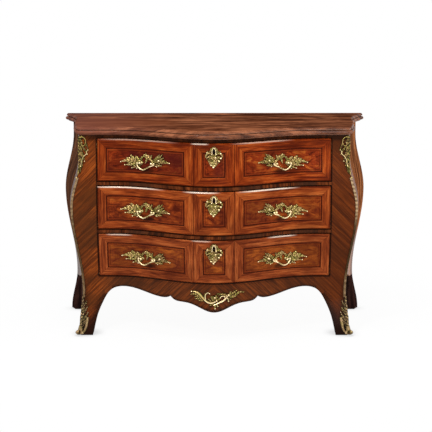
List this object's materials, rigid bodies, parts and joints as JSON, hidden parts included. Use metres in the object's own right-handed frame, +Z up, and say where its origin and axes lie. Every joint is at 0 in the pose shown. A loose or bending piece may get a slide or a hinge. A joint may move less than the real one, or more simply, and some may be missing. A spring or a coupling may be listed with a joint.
{
  "type": "commode chest",
  "caption": "Bombe serpentine commode chest of long drawers on short cabriole legs, veneered, with gilt foliate drop handles, keyhole plates, corner and foot mounts.",
  "frame": {"origin": "on the floor under the middle of the chest's box", "axes": "+Z up, the drawers open towards -Y, +X to the right seen from the front"},
  "size_m": [1.278, 0.6182, 0.85],
  "materials": {
    "drawer_veneer": "polished",
    "frame_veneer": "polished",
    "rail_veneer": "polished",
    "top_veneer": "polished",
    "dark_wood": "waxed",
    "carcase_wood": "bare",
    "drawer_lining": "bare",
    "gilt_brass": "gilt, chased",
    "lock_steel": "dull"
  },
  "bodies": {
    "carcass": {"apron": "frame_veneer", "apron_mount": "gilt_brass", "back_boards": "carcase_wood", "bottom_board": "carcase_wood", "drawer_runners": "carcase_wood", "drawer_stops": "carcase_wood", "front_left_leg": "frame_veneer", "front_right_leg": "frame_veneer", "left_corner_fillet": "gilt_brass", "left_corner_mount": "gilt_brass", "left_foot_mount": "gilt_brass", "left_side_panel": "frame_veneer", "lower_dust_board": "carcase_wood", "lower_rail": "rail_veneer", "rear_left_leg": "dark_wood", "rear_right_leg": "dark_wood", "right_corner_fillet": "gilt_brass", "right_corner_mount": "gilt_brass", "right_foot_mount": "gilt_brass", "right_side_panel": "frame_veneer", "top": "top_veneer", "top_rail": "rail_veneer", "upper_dust_board": "carcase_wood", "upper_rail": "rail_veneer"},
    "top_drawer": {"top_drawer_front": "drawer_veneer", "top_drawer_sides": "drawer_lining", "top_drawer_back": "drawer_lining", "top_drawer_bottom": "drawer_lining", "top_drawer_escutcheon": "gilt_brass", "top_drawer_lock_case": "lock_steel", "top_drawer_handle_bolts": "lock_steel", "top_drawer_left_handle_plate": "gilt_brass", "top_drawer_right_handle_plate": "gilt_brass"},
    "top_drawer_lock": {"top_drawer_lock_bolt": "lock_steel"},
    "top_drawer_left_handle": {"top_drawer_left_bail": "gilt_brass"},
    "top_drawer_right_handle": {"top_drawer_right_bail": "gilt_brass"},
    "middle_drawer": {"middle_drawer_front": "drawer_veneer", "middle_drawer_sides": "drawer_lining", "middle_drawer_back": "drawer_lining", "middle_drawer_bottom": "drawer_lining", "middle_drawer_escutcheon": "gilt_brass", "middle_drawer_lock_case": "lock_steel", "middle_drawer_handle_bolts": "lock_steel", "middle_drawer_left_handle_plate": "gilt_brass", "middle_drawer_right_handle_plate": "gilt_brass"},
    "middle_drawer_lock": {"middle_drawer_lock_bolt": "lock_steel"},
    "middle_drawer_left_handle": {"middle_drawer_left_bail": "gilt_brass"},
    "middle_drawer_right_handle": {"middle_drawer_right_bail": "gilt_brass"},
    "bottom_drawer": {"bottom_drawer_front": "drawer_veneer", "bottom_drawer_sides": "drawer_lining", "bottom_drawer_back": "drawer_lining", "bottom_drawer_bottom": "drawer_lining", "bottom_drawer_escutcheon": "gilt_brass", "bottom_drawer_lock_case": "lock_steel", "bottom_drawer_handle_bolts": "lock_steel", "bottom_drawer_left_handle_plate": "gilt_brass", "bottom_drawer_right_handle_plate": "gilt_brass"},
    "bottom_drawer_lock": {"bottom_drawer_lock_bolt": "lock_steel"},
    "bottom_drawer_left_handle": {"bottom_drawer_left_bail": "gilt_brass"},
    "bottom_drawer_right_handle": {"bottom_drawer_right_bail": "gilt_brass"}
  },
  "joints": [
    {"name": "top_drawer_slide", "type": "slide", "parent": "carcass", "child": "top_drawer", "axis": [0, -1, 0], "range_m": [0, 0.3]},
    {"name": "top_drawer_lock_throw", "type": "slide", "parent": "top_drawer", "child": "top_drawer_lock", "axis": [0, 0, 1], "range_m": [0, 0.009]},
    {"name": "top_drawer_left_handle_swing", "type": "hinge", "parent": "top_drawer", "child": "top_drawer_left_handle", "pos_m": [-0.26999, -0.19816, 0.712], "axis": [-0.9012, 0.4333, 0], "range_deg": [0, 85]},
    {"name": "top_drawer_right_handle_swing", "type": "hinge", "parent": "top_drawer", "child": "top_drawer_right_handle", "pos_m": [0.26999, -0.19816, 0.712], "axis": [-0.9012, -0.4333, 0], "range_deg": [0, 85]},
    {"name": "middle_drawer_slide", "type": "slide", "parent": "carcass", "child": "middle_drawer", "axis": [0, -1, 0], "range_m": [0, 0.3]},
    {"name": "middle_drawer_lock_throw", "type": "slide", "parent": "middle_drawer", "child": "middle_drawer_lock", "axis": [0, 0, 1], "range_m": [0, 0.009]},
    {"name": "middle_drawer_left_handle_swing", "type": "hinge", "parent": "middle_drawer", "child": "middle_drawer_left_handle", "pos_m": [-0.26999, -0.21225, 0.5205], "axis": [-0.9012, 0.4333, 0], "range_deg": [0, 85]},
    {"name": "middle_drawer_right_handle_swing", "type": "hinge", "parent": "middle_drawer", "child": "middle_drawer_right_handle", "pos_m": [0.26999, -0.21225, 0.5205], "axis": [-0.9012, -0.4333, 0], "range_deg": [0, 85]},
    {"name": "bottom_drawer_slide", "type": "slide", "parent": "carcass", "child": "bottom_drawer", "axis": [0, -1, 0], "range_m": [0, 0.3]},
    {"name": "bottom_drawer_lock_throw", "type": "slide", "parent": "bottom_drawer", "child": "bottom_drawer_lock", "axis": [0, 0, 1], "range_m": [0, 0.009]},
    {"name": "bottom_drawer_left_handle_swing", "type": "hinge", "parent": "bottom_drawer", "child": "bottom_drawer_left_handle", "pos_m": [-0.26999, -0.18282, 0.3235], "axis": [-0.9012, 0.4333, 0], "range_deg": [0, 85]},
    {"name": "bottom_drawer_right_handle_swing", "type": "hinge", "parent": "bottom_drawer", "child": "bottom_drawer_right_handle", "pos_m": [0.26999, -0.18282, 0.3235], "axis": [-0.9012, -0.4333, 0], "range_deg": [0, 85]}
  ]
}
